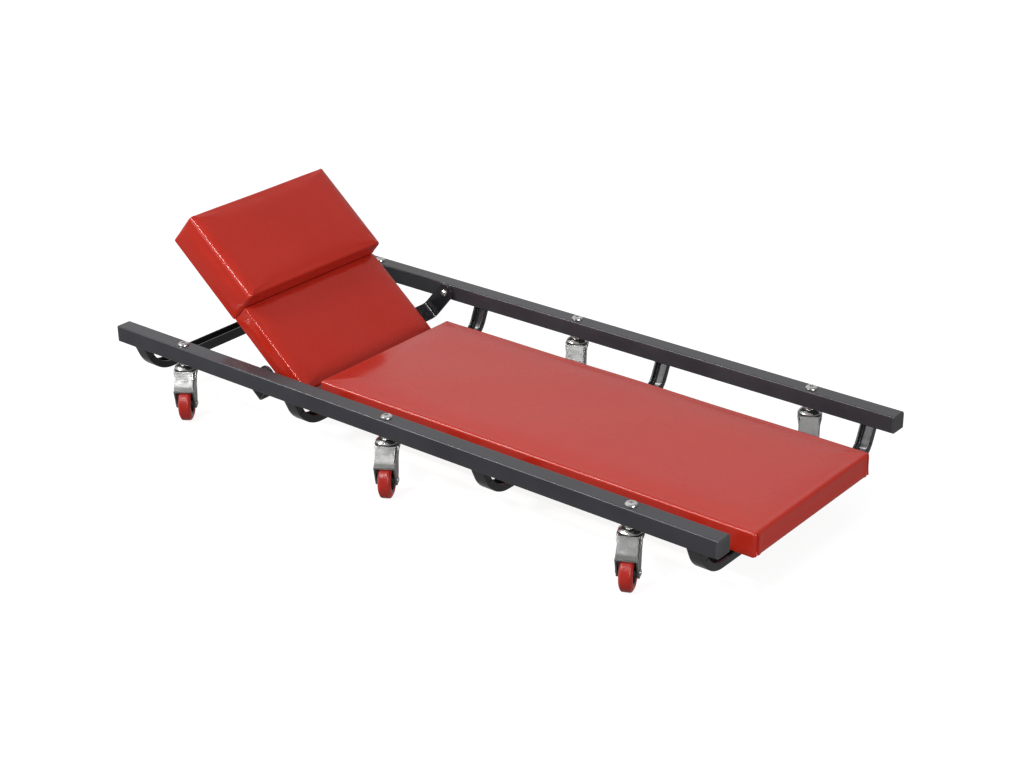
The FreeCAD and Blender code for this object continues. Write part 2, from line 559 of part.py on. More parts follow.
def fork_body(label):
    body = new_body(label)
    g, fh, sh = D.fork_gauge, D.fork_half, D.shoulder_half
    ct, s0, s1 = D.crown_top, D.shoulder_low, D.shoulder_high
    bottom = D.wheel_radius - D.leg_half_end
    # crown and legs as one bent section, wider at the shoulders
    sk = attach(body, label + "_front", "YZ_Plane", 8)
    add_loop(sk, [(-fh, bottom), (-fh, s0), (-sh, s1), (-sh, ct - 1.2), (-sh + 1.2, ct), (sh - 1.2, ct), (sh, ct - 1.2), (sh, s1), (fh, s0), (fh, bottom),
                  (fh - g, bottom), (fh - g, s0 + 0.6), (sh - g, s1 + 0.6), (sh - g, ct - g), (-sh + g, ct - g), (-sh + g, s1 + 0.6), (-fh + g, s0 + 0.6), (-fh + g, bottom)])
    tip = pad(body, label + "_blank", sk, q(70), symmetric=True)
    # side outline of the legs: everything outside it is trimmed away
    hx, hz, tx = D.hood_low_along, D.hood_low, D.hood_high_along
    ax, e = D.trail, D.leg_half_end
    sk = attach(body, label + "_side", "XZ_Plane")
    add_loop(sk, [(-60, 5), (90, 5), (90, 90), (-60, 90)])
    add_loop(sk, [(-14, ct + 1), (3.5, ct + 1), (5.5, ct - 2.6), (8.2, 66.6), (12.6, 61.0), (17.6, 56.0), (22.6, 51.6), (hx - 1.2, hz + 0.8), (hx, hz), (hx - 0.7, 45.0), (25.6, 41.0), (ax + e + 3.5, D.wheel_radius + 8),
                  (ax + e, D.wheel_radius + 1), (ax + e, bottom), (ax - e, bottom), (ax - e, D.wheel_radius + 1), (2.0, 36), (0.2, 50), (-4.5, s0 - 1), (-10.5, s0 + 5), (-14, s1 + 0.5)])
    tip = pocket(body, label + "_trim", sk, q(60), symmetric=True)
    tip = fillet(body, label + "_leg_ends", tip, lambda ed: along(ed, YD) and near(mid(ed).z, bottom.v), D.leg_end_radius)
    # rounded plan of the crown, leading and trailing corners
    sk = attach(body, label + "_corners", "XY_Plane", ct + 1)
    for s in (-1, 1):
        corner = [(-22, 8), (-14, 8), (-12.9, 11.4), (-10.4, 14.2), (-6.8, 15.9), (-3, sh + 0.1), (-3, 24), (-22, 24)]
        add_loop(sk, [(px_, q(py_) * s) for px_, py_ in corner])
    tip = pocket(body, label + "_corner_cut", sk, ct - s0 + 1)
    # crown plate reaching forward to the top of the hood
    sk = attach(body, label + "_crown", "XY_Plane", ct - g)
    half = [(-13.4, 6.4), (-11.6, 9.8), (-8.4, 12.8), (-4, 14.9), (1, 15.6), (5.4, 15.0), (8.6, 13.4), (10.8, 11.8), (tx, D.hood_high_half)]
    add_loop(sk, [(x_, q(y_) * -1) for x_, y_ in half] + [(x_, q(y_)) for x_, y_ in reversed(half)])
    tip = pad(body, label + "_crown_plate", sk, g)
    # hood over the wheel: a dished plate that widens downwards to the legs' edges
    levels = [(ct - 0.3, tx - 2.4, tx, D.hood_high_half), (q(66.4), q(14.5), q(16.5), D.hood_high_half + 0.2), (q(60.0), q(18.4), q(20.4), D.hood_high_half + 0.7),
              (q(53.6), q(22.6), q(24.6), D.hood_low_half - 1.2), (hz, hx - 2.0, hx, D.hood_low_half)]
    sections = []
    for i, (z, x0, x1, half) in enumerate(levels):
        sk = attach(body, "%s_hood_%d" % (label, i), "XY_Plane", z)
        add_loop(sk, [(x0, -half), (x1, -half), (x1, half), (x0, half)])
        sections.append(sk)
    before = body.Shape.Volume
    loft = body.newObject("PartDesign::AdditiveLoft", label + "_hood_plate")
    loft.Profile = sections[0]
    loft.Sections = [(sk, [""]) for sk in sections[1:]]
    loft.Ruled = True
    doc.recompute()
    if not body.Shape.Volume > before + 500:
        raise RuntimeError("hood of %s added nothing" % label)
    # side returns closing the space between the hood and the legs
    for i, start in enumerate((q(10.6), q(-12.6))):
        sk = attach(body, "%s_return_%d" % (label, i), "XZ_Plane", start)
        add_loop(sk, [(-1, ct - g * 0.5), (tx - 1.6, ct - g * 0.5), (15.2, 66.4), (19.2, 60.0), (23.4, 53.6), (hx - 1.4, hz + 0.6), (21.0, hz + 1.2), (14.0, 52.5), (7.0, 59.0), (1.0, 65.5)])
        tip = pad(body, "%s_return_plate_%d" % (label, i), sk, q(2.0))
    # rolled rim along the hood's lower edge
    sk = attach(body, label + "_rim", "XZ_Plane")
    add_loop(sk, [(hx - 2.0, hz - 0.6), (hx + 0.3, hz - 0.6), (hx + 0.9, hz), (hx + 0.6, hz + 0.9), (hx - 0.6, hz + 1.4), (hx - 2.2, hz + 1.0)])
    tip = pad(body, label + "_rim_bar", sk, D.hood_low_half * 2, symmetric=True)
    sk = attach(body, label + "_pin_hole", "XY_Plane", ct + 1)
    add_circle(sk, 0, 0, D.fork_hole)
    pocket(body, label + "_pin_drill", sk, g + 4)
    sk = attach(body, label + "_axle_holes", "XZ_Plane")
    add_circle(sk, ax, D.wheel_radius, D.fork_axle_hole)
    pocket(body, label + "_axle_drill", sk, fh * 2 + 10, symmetric=True)
    return body


def cross_axis(label, outline):
    """Revolved about the wheel's axle, which runs along local Y."""
    body = new_body(label)
    sk = attach(body, label + "_half", "XY_Plane")
    add_loop(sk, [(r, y) for r, y in outline])
    revolve(body, label + "_turn", sk)
    return body


ANGLES = {"right_head": -53.0, "right_mid": -59.0, "right_foot": -65.0,
          "left_head": -60.0, "left_mid": -61.0, "left_foot": -60.0}
kingpins = []
for side, sign in (("right", -1), ("left", 1)):
    for word, x in CASTER_X:
        name = "caster_%s_%s" % (side, word)
        turn = Rotation(ZD, ANGLES["%s_%s" % (side, word)])
        y = D.rail_centre * sign
        at = Placement(Vector(x.v, y.v, 0), turn)
        kingpins.append(at)
        body = fork_body(name + "_fork")
        place(body, (x, y, 0), turn)
        keep(body)
        axle = at.multiply(Placement(Vector(VAL["trail"], 0, VAL["wheel_radius"]), Rotation()))
        ax_x = x + D.trail * math.cos(math.radians(ANGLES["%s_%s" % (side, word)]))
        ax_y = y + D.trail * math.sin(math.radians(ANGLES["%s_%s" % (side, word)]))
        # axle rivet: a shank through both legs with a low formed head at each end
        fh, ah, ar, hh2 = D.fork_half, D.axle_head, D.axle_radius, D.axle_head_height
        body = cross_axis(name + "_axle_rivet", [(0, -fh - hh2), (ah * 0.55, -fh - hh2), (ah * 0.9, -fh - hh2 * 0.6), (ah, -fh - hh2 * 0.2), (ah, -fh), (ar, -fh),
                                                 (ar, fh), (ah, fh), (ah, fh + hh2 * 0.2), (ah * 0.9, fh + hh2 * 0.6), (ah * 0.55, fh + hh2), (0, fh + hh2)])
        place(body, (ax_x, ax_y, D.wheel_radius), turn)
        keep(body)
        body = cross_axis(name + "_wheel_bush", [(D.bush_bore, -D.bush_half), (D.bush_radius, -D.bush_half), (D.bush_radius, D.bush_half), (D.bush_bore, D.bush_half)])
        place(body, (ax_x, ax_y, D.wheel_radius), turn)
        keep(body)
        hb, hw, hr2 = D.hub_boss, D.hub_web_half, D.hub_rim_half
        body = cross_axis(name + "_wheel_hub", [(D.bush_radius, -D.hub_boss_half), (hb - 0.6, -D.hub_boss_half), (hb, -D.hub_boss_half + 0.6), (hb + 0.6, -hw), (D.hub_web_out - 0.6, -hw),
                                                (D.hub_web_out, -hr2), (D.hub_rim, -hr2), (D.hub_rim, hr2), (D.hub_web_out, hr2), (D.hub_web_out - 0.6, hw),
                                                (hb + 0.6, hw), (hb, D.hub_boss_half - 0.6), (hb - 0.6, D.hub_boss_half), (D.bush_radius, D.hub_boss_half)])
        place(body, (ax_x, ax_y, D.wheel_radius), turn)
        keep(body)
        th, ts, wr = D.tread_half, D.tread_shoulder, D.wheel_radius
        body = new_body(name + "_wheel_tread")
        sk = attach(body, name + "_tread_half", "XY_Plane")
        add_loop(sk, [(D.hub_rim, -th + 0.8), (D.hub_rim + 1.5, -th), (wr - ts, -th), (wr, -th + 2.6), (wr, th - 2.6), (wr - ts, th), (D.hub_rim + 1.5, th), (D.hub_rim, th - 0.8)])
        tip = revolve(body, name + "_tread_turn", sk)
        tip = fillet(body, name + "_tread_crown", tip, lambda ed: ed.Curve.TypeId == "Part::GeomCircle" and near(ed.Curve.Radius, wr.v, 1e-4), 3.0)
        tip = fillet(body, name + "_tread_side", tip, lambda ed: ed.Curve.TypeId == "Part::GeomCircle" and near(ed.Curve.Radius, wr.v - ts.v, 1e-4), 2.5)
        place(body, (ax_x, ax_y, D.wheel_radius), turn)
        keep(body)

copies("caster_kingpins", pin, [Placement(p.Base, Rotation()) for p in kingpins])
copies("caster_top_races", race, [Placement(p.Base, Rotation()) for p in kingpins])
copies("caster_screws", caster_screw, [Placement(Vector(p.Base.x, p.Base.y, VAL["rail_top"]), Rotation(ZD, 17.0 * i)) for i, p in enumerate(kingpins)])
BALLS = 10
spots = []
for p in kingpins:
    for i in range(BALLS):
        a = 2 * math.pi * i / BALLS
        spots.append(Placement(Vector(p.Base.x + VAL["ball_pitch"] * math.cos(a), p.Base.y + VAL["ball_pitch"] * math.sin(a), VAL["ball_centre"]), Rotation()))
copies("caster_balls", ball, spots)

# ------------------------------------------------------------- check and write
doc.recompute()
bad = []
for obj in doc.Objects:
    if "Invalid" in obj.State or "Error" in obj.State:
        bad.append("%s: %s" % (obj.Name, obj.State))
for obj in NODES:
    shape = obj.Shape
    if shape.isNull() or not shape.isValid() or not shape.Solids:
        bad.append("%s: shape" % obj.Label)
if bad:
    raise RuntimeError("failed objects: " + "; ".join(bad))
os.makedirs("parts", exist_ok=True)
labels = [obj.Label for obj in NODES]
if len(set(labels)) != len(labels):
    raise RuntimeError("labels repeat")
for obj in NODES:
    obj.Shape.exportStep(os.path.join("parts", obj.Label + ".step"))
    box = obj.Shape.BoundBox
    print("%-34s solids %2d  vol %10.1f  x %.1f..%.1f  y %.1f..%.1f  z %.1f..%.1f" % (
        obj.Label, len(obj.Shape.Solids), obj.Shape.Volume, box.XMin, box.XMax, box.YMin, box.YMax, box.ZMin, box.ZMax))
print(len(NODES), "nodes")
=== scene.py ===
import math
import random
import bpy
import bmesh
import numpy as np
from mathutils import Matrix, Vector


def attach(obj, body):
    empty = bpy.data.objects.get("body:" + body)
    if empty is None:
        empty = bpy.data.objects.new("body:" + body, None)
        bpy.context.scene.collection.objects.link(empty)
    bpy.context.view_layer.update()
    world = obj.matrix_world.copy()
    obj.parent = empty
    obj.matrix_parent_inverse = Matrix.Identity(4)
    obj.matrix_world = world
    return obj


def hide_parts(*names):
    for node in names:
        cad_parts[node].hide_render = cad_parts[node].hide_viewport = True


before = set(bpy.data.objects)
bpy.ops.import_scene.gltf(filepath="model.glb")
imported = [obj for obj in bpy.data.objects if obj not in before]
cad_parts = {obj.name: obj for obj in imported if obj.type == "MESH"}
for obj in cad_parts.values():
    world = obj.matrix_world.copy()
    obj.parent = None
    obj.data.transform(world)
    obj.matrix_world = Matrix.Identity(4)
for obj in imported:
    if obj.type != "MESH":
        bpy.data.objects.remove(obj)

random.seed(7)
RNG = np.random.default_rng(7)
scene = bpy.context.scene
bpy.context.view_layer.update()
MM = 0.001


# ------------------------------------------------------------------ camera
def make_camera():
    az, el, roll = math.radians(39.068), math.radians(24.886), math.radians(-0.682)
    back = Vector((math.sin(az) * math.cos(el), -math.cos(az) * math.cos(el), math.sin(el)))
    right = Vector((math.cos(az), math.sin(az), 0))
    up = back.cross(right)
    c, s = math.cos(roll), math.sin(roll)
    r2 = right * c + up * s
    u2 = up * c - right * s
    data = bpy.data.cameras.new("view_camera")
    data.sensor_width = 36.0
    data.lens = 1976.14 * 36.0 / 1024.0
    data.clip_end = 50
    cam = bpy.data.objects.new("view_camera", data)
    scene.collection.objects.link(cam)
    m = Matrix.Identity(4)
    for i, v in enumerate((r2, u2, back)):
        for k in range(3):
            m[k][i] = v[k]
    m.translation = Vector((1.55139, -1.86402, 1.20608))
    cam.matrix_world = m
    scene.camera = cam


make_camera()


# --------------------------------------------------------------- materials
class Mat:
    """Small helper that wires procedural node materials."""

    def __init__(self, name):
        self.m = bpy.data.materials.new(name)
        self.m.use_nodes = True
        self.t = self.m.node_tree
        self.t.nodes.clear()
        self.out = self.t.nodes.new("ShaderNodeOutputMaterial")
        self.b = self.t.nodes.new("ShaderNodeBsdfPrincipled")
        self.t.links.new(self.b.outputs[0], self.out.inputs[0])
        self.coord = self.t.nodes.new("ShaderNodeTexCoord").outputs["Object"]

    def link(self, a, b):
        self.t.links.new(a, b)

    def set(self, **kw):
        for k, v in kw.items():
            self.b.inputs[k.replace("_", " ")].default_value = v

    def mapped(self, scale=(1, 1, 1), rot=(0, 0, 0)):
        n = self.t.nodes.new("ShaderNodeMapping")
        n.inputs["Scale"].default_value = scale
        n.inputs["Rotation"].default_value = rot
        self.link(self.coord, n.inputs["Vector"])
        return n.outputs[0]

    def noise(self, scale, detail=3, rough=0.5, vec=None, distort=0.0):
        n = self.t.nodes.new("ShaderNodeTexNoise")
        n.inputs["Scale"].default_value = scale
        n.inputs["Detail"].default_value = detail
        n.inputs["Roughness"].default_value = rough
        n.inputs["Distortion"].default_value = distort
        self.link(vec or self.coord, n.inputs["Vector"])
        return n.outputs["Fac"]

    def voronoi(self, scale, feature="F1", vec=None, rand=1.0):
        n = self.t.nodes.new("ShaderNodeTexVoronoi")
        n.feature = feature
        n.inputs["Scale"].default_value = scale
        n.inputs["Randomness"].default_value = rand
        self.link(vec or self.coord, n.inputs["Vector"])
        return n.outputs["Distance"]

    def ramp(self, fac, stops):
        n = self.t.nodes.new("ShaderNodeValToRGB")
        e = n.color_ramp.elements
        while len(e) < len(stops):
            e.new(0.5)
        for i, (p, c) in enumerate(stops):
            e[i].position = p
            e[i].color = c if len(c) == 4 else (*c, 1)
        self.link(fac, n.inputs[0])
        return n.outputs[0]

    def range(self, fac, a, b, lo=0.0, hi=1.0):
        n = self.t.nodes.new("ShaderNodeMapRange")
        n.inputs["From Min"].default_value = lo
        n.inputs["From Max"].default_value = hi
        n.inputs["To Min"].default_value = a
        n.inputs["To Max"].default_value = b
        self.link(fac, n.inputs["Value"])
        return n.outputs[0]

    def math(self, op, a, b=0.0, c=None):
        n = self.t.nodes.new("ShaderNodeMath")
        n.operation = op
        for i, v in enumerate((a, b) if c is None else (a, b, c)):
            if isinstance(v, (int, float)):
                n.inputs[i].default_value = v
            else:
                self.link(v, n.inputs[i])
        return n.outputs[0]

    def mix(self, fac, a, b, kind="MIX"):
        n = self.t.nodes.new("ShaderNodeMix")
        n.data_type = "RGBA"
        n.blend_type = kind
        for sock, v in ((n.inputs[0], fac), (n.inputs[6], a), (n.inputs[7], b)):
            if isinstance(v, (int, float)):
                sock.default_value = v
            elif isinstance(v, tuple):
                sock.default_value = v if len(v) == 4 else (*v, 1)
            else:
                self.link(v, sock)
        return n.outputs[2]

    def bump(self, height, strength, dist, normal=None):
        n = self.t.nodes.new("ShaderNodeBump")
        n.inputs["Strength"].default_value = strength
        n.inputs["Distance"].default_value = dist
        self.link(height, n.inputs["Height"])
        if normal:
            self.link(normal, n.inputs["Normal"])
        return n.outputs[0]

    def color(self, c):
        self.link(c, self.b.inputs["Base Color"])

    def rough(self, r):
        self.link(r, self.b.inputs["Roughness"])

    def normal(self, n):
        self.link(n, self.b.inputs["Normal"])


def powder_coat(name, base, rough, peel=0.5):
    """Stoved powder coat: orange peel, faint mottling, fine dust specks."""
    k = Mat(name)
    mott = k.noise(14, 4, 0.55)
    fine = k.noise(420, 3, 0.6)
    dark = tuple(v * 0.86 for v in base)
    light = tuple(min(1, v * 1.14 + 0.002) for v in base)
    col = k.ramp(mott, [(0.3, dark), (0.7, light)])
    dust = k.ramp(k.noise(900, 2, 0.7), [(0.69, (0, 0, 0)), (0.76, (1, 1, 1))])
    col = k.mix(k.math("MULTIPLY", dust, 0.16), col, tuple(min(1, v * 3 + 0.05) for v in base))
    k.color(col)
    k.rough(k.math("ADD", k.range(mott, rough - 0.05, rough + 0.06, 0.3, 0.7), k.range(fine, -0.03, 0.03)))
    peel_n = k.bump(k.noise(310, 2, 0.45), 0.22 * peel, 0.0006)
    k.normal(k.bump(k.noise(60, 2, 0.5), 0.12 * peel, 0.0012, peel_n))
    k.set(Metallic=0.0, IOR=1.40, Coat_Weight=0.35, Coat_Roughness=0.10)
    return k.m


def vinyl(name):
    """Upholstery vinyl: pressed leather grain with painted shade in its valleys, soft sheen, slight handling marks."""
    k = Mat(name)
    big = k.noise(5.5, 4, 0.55)
    mid_ = k.noise(38, 3, 0.5)
    tone = k.math("ADD", k.math("MULTIPLY", big, 0.65), k.math("MULTIPLY", mid_, 0.35))
    col = k.ramp(tone, [(0.32, (0.435, 0.017, 0.006)), (0.52, (0.455, 0.019, 0.008)), (0.72, (0.475, 0.023, 0.010))])
    warp = k.noise(260, 2, 0.5)
    cell = k.voronoi(760, "F1")
    crack = k.voronoi(760, "DISTANCE_TO_EDGE")
    small = k.voronoi(1700, "F1")
    valley = k.range(crack, 1.0, 0.0, 0.0, 0.12)
    # painted shade: the grain valleys are darkened as if shade fell in their hollows (the same valley mask also raises
    # roughness below)
    col = k.mix(k.math("MULTIPLY", valley, 0.22), col, (0.24, 0.010, 0.008))
    k.color(col)
    scuff = k.ramp(k.noise(21, 5, 0.65, distort=0.6), [(0.55, (0, 0, 0)), (0.75, (1, 1, 1))])
    r = k.math("ADD", k.range(big, 0.25, 0.29, 0.3, 0.7), k.math("MULTIPLY", scuff, 0.03))
    r = k.math("ADD", r, k.math("MULTIPLY", valley, 0.10))
    k.rough(r)
    n1 = k.bump(crack, 0.28, 0.00022)
    n2 = k.bump(small, 0.12, 0.00012, n1)
    n3 = k.bump(warp, 0.07, 0.0003, n2)
    n4 = k.bump(mid_, 0.035, 0.002, n3)
    k.normal(n4)
    k.set(Metallic=0.0, IOR=1.30, Sheen_Weight=0.01, Sheen_Roughness=0.4, Coat_Weight=0.55, Coat_Roughness=0.12)
    return k.m


def zinc(name, base, rough, brushed=(1, 1, 1), spangle=0.5):
    """Zinc-plated pressed steel: cloudy plating, fine drawing lines, tiny pits."""
    k = Mat(name)
    cloud = k.noise(75, 5, 0.6)
    lines = k.noise(900, 3, 0.65, k.mapped(brushed))
    pits = k.ramp(k.noise(1300, 2, 0.7), [(0.66, (0, 0, 0)), (0.74, (1, 1, 1))])
    dark = tuple(v * 0.72 for v in base)
    light = tuple(min(1, v * 1.12) for v in base)
    col = k.ramp(cloud, [(0.3, dark), (0.7, light)])
    col = k.mix(k.math("MULTIPLY", pits, 0.35 * spangle), col, (0.16, 0.15, 0.14))
    k.color(col)
    r = k.math("ADD", k.range(cloud, rough + 0.10, rough - 0.06, 0.3, 0.7), k.range(lines, -0.06, 0.06))
    k.rough(r)
    n = k.bump(lines, 0.10, 0.00015)
    k.normal(k.bump(cloud, 0.10, 0.0008, n))
    k.set(Metallic=1.0)
    return k.m


def plastic(name, base, rough, grain=900, depth=0.00012):
    """Moulded plastic with a spark-eroded texture."""
    k = Mat(name)
    a = k.noise(26, 3, 0.5)
    g = k.noise(grain, 3, 0.6)
    k.color(k.ramp(a, [(0.3, tuple(v * 0.85 for v in base)), (0.7, tuple(v * 1.25 + 0.002 for v in base))]))
    k.rough(k.math("ADD", k.range(a, rough - 0.04, rough + 0.05, 0.3, 0.7), k.range(g, -0.04, 0.04)))
    k.normal(k.bump(g, 0.35, depth))
    k.set(Metallic=0.0, IOR=1.49)
    return k.m


def urethane(name):
    """Cast red polyurethane tread: slightly translucent look, rolling scuffs."""
    k = Mat(name)
    a = k.noise(46, 4, 0.6)
    col = k.ramp(a, [(0.3, (0.33, 0.012, 0.008)), (0.7, (0.42, 0.021, 0.013))])
    grime = k.ramp(k.noise(180, 5, 0.7), [(0.56, (0, 0, 0)), (0.78, (1, 1, 1))])
    col = k.mix(k.math("MULTIPLY", grime, 0.28), col, (0.10, 0.045, 0.035))
    k.color(col)
    k.rough(k.math("ADD", k.range(a, 0.28, 0.38, 0.3, 0.7), k.math("MULTIPLY", grime, 0.22)))
    k.normal(k.bump(k.noise(700, 3, 0.6), 0.18, 0.0002))
    k.set(Metallic=0.0, IOR=1.5, Subsurface_Weight=0.08, Subsurface_Scale=0.002)
    k.b.inputs["Subsurface Radius"].default_value = (1.0, 0.2, 0.1)
    return k.m


def board_wood(name):
    """Rotary-cut plywood face: long grain along X, knots and sanding marks."""
    k = Mat(name)
    v = k.mapped((1.6, 26, 26))
    rings = k.noise(1.0, 6, 0.62, v, 0.35)
    fibre = k.noise(1.0, 4, 0.7, k.mapped((24, 900, 900)))
    blotch = k.noise(3.2, 3, 0.5)
    col = k.ramp(rings, [(0.28, (0.30, 0.185, 0.095)), (0.5, (0.46, 0.315, 0.18)), (0.72, (0.56, 0.41, 0.26))])
    col = k.mix(k.range(fibre, 0.0, 0.35, 0.35, 0.75), col, (0.24, 0.145, 0.075))
    col = k.mix(k.range(blotch, 0.0, 0.25, 0.4, 0.8), col, (0.38, 0.26, 0.15))
    k.color(col)
    k.rough(k.range(rings, 0.62, 0.78, 0.2, 0.8))
    k.normal(k.bump(fibre, 0.30, 0.0003))
    k.set(Metallic=0.0)
    return k.m


M_RAIL = powder_coat("rail_powder_coat", (0.032, 0.032, 0.038), 0.34, 0.7)
M_STRAP = powder_coat("strap_powder_coat", (0.016, 0.016, 0.019), 0.24, 0.8)
M_VINYL = vinyl("red_vinyl")
M_ZINC = zinc("zinc_pressed", (0.29, 0.29, 0.285), 0.40, (1, 1, 7), 0.7)
M_BRIGHT = zinc("zinc_bright", (0.80, 0.80, 0.78), 0.16, (1, 1, 1), 0.2)
M_CAP = plastic("cap_plastic", (0.045, 0.046, 0.048), 0.38)
M_HUB = plastic("hub_plastic", (0.018, 0.018, 0.018), 0.36, 700)
M_NYLON = plastic("washer_nylon", (0.030, 0.030, 0.030), 0.45, 500)
M_TREAD = urethane("wheel_urethane")
M_WOOD = board_wood("board_plywood")
M_STAPLE = zinc("staple_wire", (0.70, 0.70, 0.69), 0.22)
M_WELD = powder_coat("weld_coat", (0.020, 0.020, 0.022), 0.36, 1.0)


def dress(node, mat, bevel=0.0, segments=2, angle=35.0):
    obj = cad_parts[node]
    mesh = obj.data
    if not mesh.materials:
        mesh.materials.append(mat)
    for slot in obj.material_slots:
        slot.material = mat
    if bevel > 0:
        w = obj.modifiers.new("weld", "WELD")
        w.merge_threshold = 1e-6
        b = obj.modifiers.new("edge_break", "BEVEL")
        b.width = bevel
        b.segments = segments
        b.limit_method = "ANGLE"
        b.angle_limit = math.radians(angle)
        b.miter_outer = "MITER_ARC"
        b.harden_normals = False
        n = obj.modifiers.new("normals", "WEIGHTED_NORMAL")
        n.keep_sharp = False
        n.weight = 80


for name in ("side_rail_right", "side_rail_left"):
    dress(name, M_RAIL)
for name in ("cross_strap_head", "cross_strap_waist", "cross_strap_hip", "cross_strap_foot"):
    dress(name, M_STRAP, 0.0006)
dress("backrest_yoke", M_STRAP, 0.0006)
dress("rail_end_caps", M_CAP)
dress("bed_board", M_WOOD)
dress("backrest_board", M_WOOD)
dress("bed_screws", M_BRIGHT)
dress("yoke_screws", M_BRIGHT)
dress("pivot_bolts", M_BRIGHT)
dress("pivot_washers", M_NYLON)
dress("pivot_rivet_nuts", M_ZINC)
dress("caster_kingpins", M_BRIGHT)
dress("caster_top_races", M_BRIGHT)
dress("caster_screws", M_BRIGHT)
dress("caster_balls", M_BRIGHT)
CASTERS = ["caster_%s_%s" % (s, w) for s in ("right", "left") for w in ("head", "mid", "foot")]
for c in CASTERS:
    dress(c + "_fork", M_ZINC, 0.0005)
    dress(c + "_axle_rivet", M_BRIGHT)
    dress(c + "_wheel_bush", M_BRIGHT)
    dress(c + "_wheel_hub", M_HUB)
    dress(c + "_wheel_tread", M_TREAD)


# ----------------------------------------------------------- mesh building
def new_object(name, verts, faces, mat, smooth=True):
    mesh = bpy.data.meshes.new(name)
    mesh.from_pydata([tuple(v) for v in verts], [], faces)
    mesh.update()
    mesh.materials.append(mat)
    if smooth:
        mesh.polygons.foreach_set("use_smooth", [True] * len(mesh.polygons))
    obj = bpy.data.objects.new(name, mesh)
    scene.collection.objects.link(obj)
    return obj


def lines(lo, hi, r_lo, r_hi, step, k=5, extra=0.0, extra_step=0.001):
    """Grid lines between lo and hi: fine over each rounded edge, coarse between."""
    a = [lo + r_lo * i / k for i in range(k)]
    b = [hi - r_hi * i / k for i in range(k)][::-1]
    start, stop = lo + r_lo, hi - r_hi
    if extra:
        n = int(round(extra / extra_step))
        a += [start + extra_step * i for i in range(n)]
        b = [stop - extra_step * i for i in range(n)][::-1] + b
        start += extra_step * n
        stop -= extra_step * n
    n = max(1, int(round((stop - start) / step)))
    mid_ = [start + (stop - start) * i / n for i in range(n + 1)]
    out = a + mid_ + b
    clean = [out[0]]
    for v in out[1:]:
        if v - clean[-1] > 1e-6:
            clean.append(v)
    return np.array(clean)


def box_shell(X, Y, Z):
    """Quad shell of a box with the given grid lines, as vertices, faces and grid keys."""
    index, verts, keys, faces = {}, [], [], []

    def vid(i, j, k):
        key = (i, j, k)
        if key not in index:
            index[key] = len(verts)
            verts.append((X[i], Y[j], Z[k]))
            keys.append(key)
        return index[key]

    nx, ny, nz = len(X) - 1, len(Y) - 1, len(Z) - 1
    for i in range(nx):
        for j in range(ny):
            faces.append((vid(i, j, nz), vid(i + 1, j, nz), vid(i + 1, j + 1, nz), vid(i, j + 1, nz)))
            faces.append((vid(i, j, 0), vid(i, j + 1, 0), vid(i + 1, j + 1, 0), vid(i + 1, j, 0)))
    for i in range(nx):
        for k in range(nz):
            faces.append((vid(i, 0, k), vid(i + 1, 0, k), vid(i + 1, 0, k + 1), vid(i, 0, k + 1)))
            faces.append((vid(i, ny, k), vid(i, ny, k + 1), vid(i + 1, ny, k + 1), vid(i + 1, ny, k)))
    for j in range(ny):
        for k in range(nz):
            faces.append((vid(0, j, k), vid(0, j, k + 1), vid(0, j + 1, k + 1), vid(0, j + 1, k)))
            faces.append((vid(nx, j, k), vid(nx, j + 1, k), vid(nx, j + 1, k + 1), vid(nx, j, k + 1)))
    return np.array(verts, float), faces, np.array(keys)


def loft_box(P, lo, hi, r_top, r_bot, r_lo, r_hi):
    """Moves box shell points onto a bar whose section has its own corner radii, with
    rounded ends: r_lo and r_hi are the edge radii of the low and high X ends."""
    x, y, z = P[:, 0].copy(), P[:, 1].copy(), P[:, 2].copy()
    for r, top in ((r_top, True), (r_bot, False)):
        zone = z > hi[2] - r if top else z < lo[2] + r
        cy = np.clip(y, lo[1] + r, hi[1] - r)
        cz = (hi[2] - r) if top else (lo[2] + r)
        dy, dz = y - cy, z - cz
        L = np.hypot(dy, dz)
        m = np.maximum(np.abs(dy), np.abs(dz))
        f = np.where(zone & (L > 1e-9) & (np.abs(dy) > 1e-9), m / np.maximum(L, 1e-9), 1.0)
        y, z = np.where(zone, cy + dy * f, y), np.where(zone, cz + dz * f, z)
    # inset distance from the section's outline, and its outward normal
    sides = np.stack([y - lo[1], hi[1] - y, z - lo[2], hi[2] - z])
    near_ = sides.argmin(0)
    inset = sides.min(0)
    ny = np.choose(near_, [-1.0, 1.0, 0.0, 0.0])
    nz = np.choose(near_, [0.0, 0.0, -1.0, 1.0])
    for r, top in ((r_top, True), (r_bot, False)):
        cy = np.clip(y, lo[1] + r, hi[1] - r)
        cz = (hi[2] - r) if top else (lo[2] + r)
        zone = ((z > cz) if top else (z < cz)) & (np.abs(y - cy) > 1e-9)
        dy, dz = y - cy, z - cz
        L = np.maximum(np.hypot(dy, dz), 1e-9)
        inset = np.where(zone, r - L, inset)
        ny = np.where(zone, dy / L, ny)
        nz = np.where(zone, dz / L, nz)
    inset = np.maximum(inset, 0)
    for r, end, sign in ((r_lo, lo[0], 1.0), (r_hi, hi[0], -1.0)):
        t = (x - end) * sign
        zone = (t < r) & (inset < r)
        vs, vt = r - inset, r - t
        L = np.maximum(np.hypot(vs, vt), 1e-9)
        m = np.maximum(vs, vt)
        s2, t2 = r - vs * m / L, r - vt * m / L
        y = np.where(zone, y - ny * (s2 - inset), y)
        z = np.where(zone, z - nz * (s2 - inset), z)
        x = np.where(zone, end + sign * t2, x)
    return np.stack([x, y, z], 1)


def smooth_noise(P, scale, seed):
    """Smooth value noise at points, from a few seeded sine waves."""
    rng = np.random.default_rng(seed)
    out = np.zeros(len(P))
    for _ in range(7):
        k = rng.normal(size=3)
        k = k / np.linalg.norm(k) * scale * rng.uniform(0.6, 1.5)
        out += np.sin(P @ k + rng.uniform(0, 6.28))
    return out / 3.5


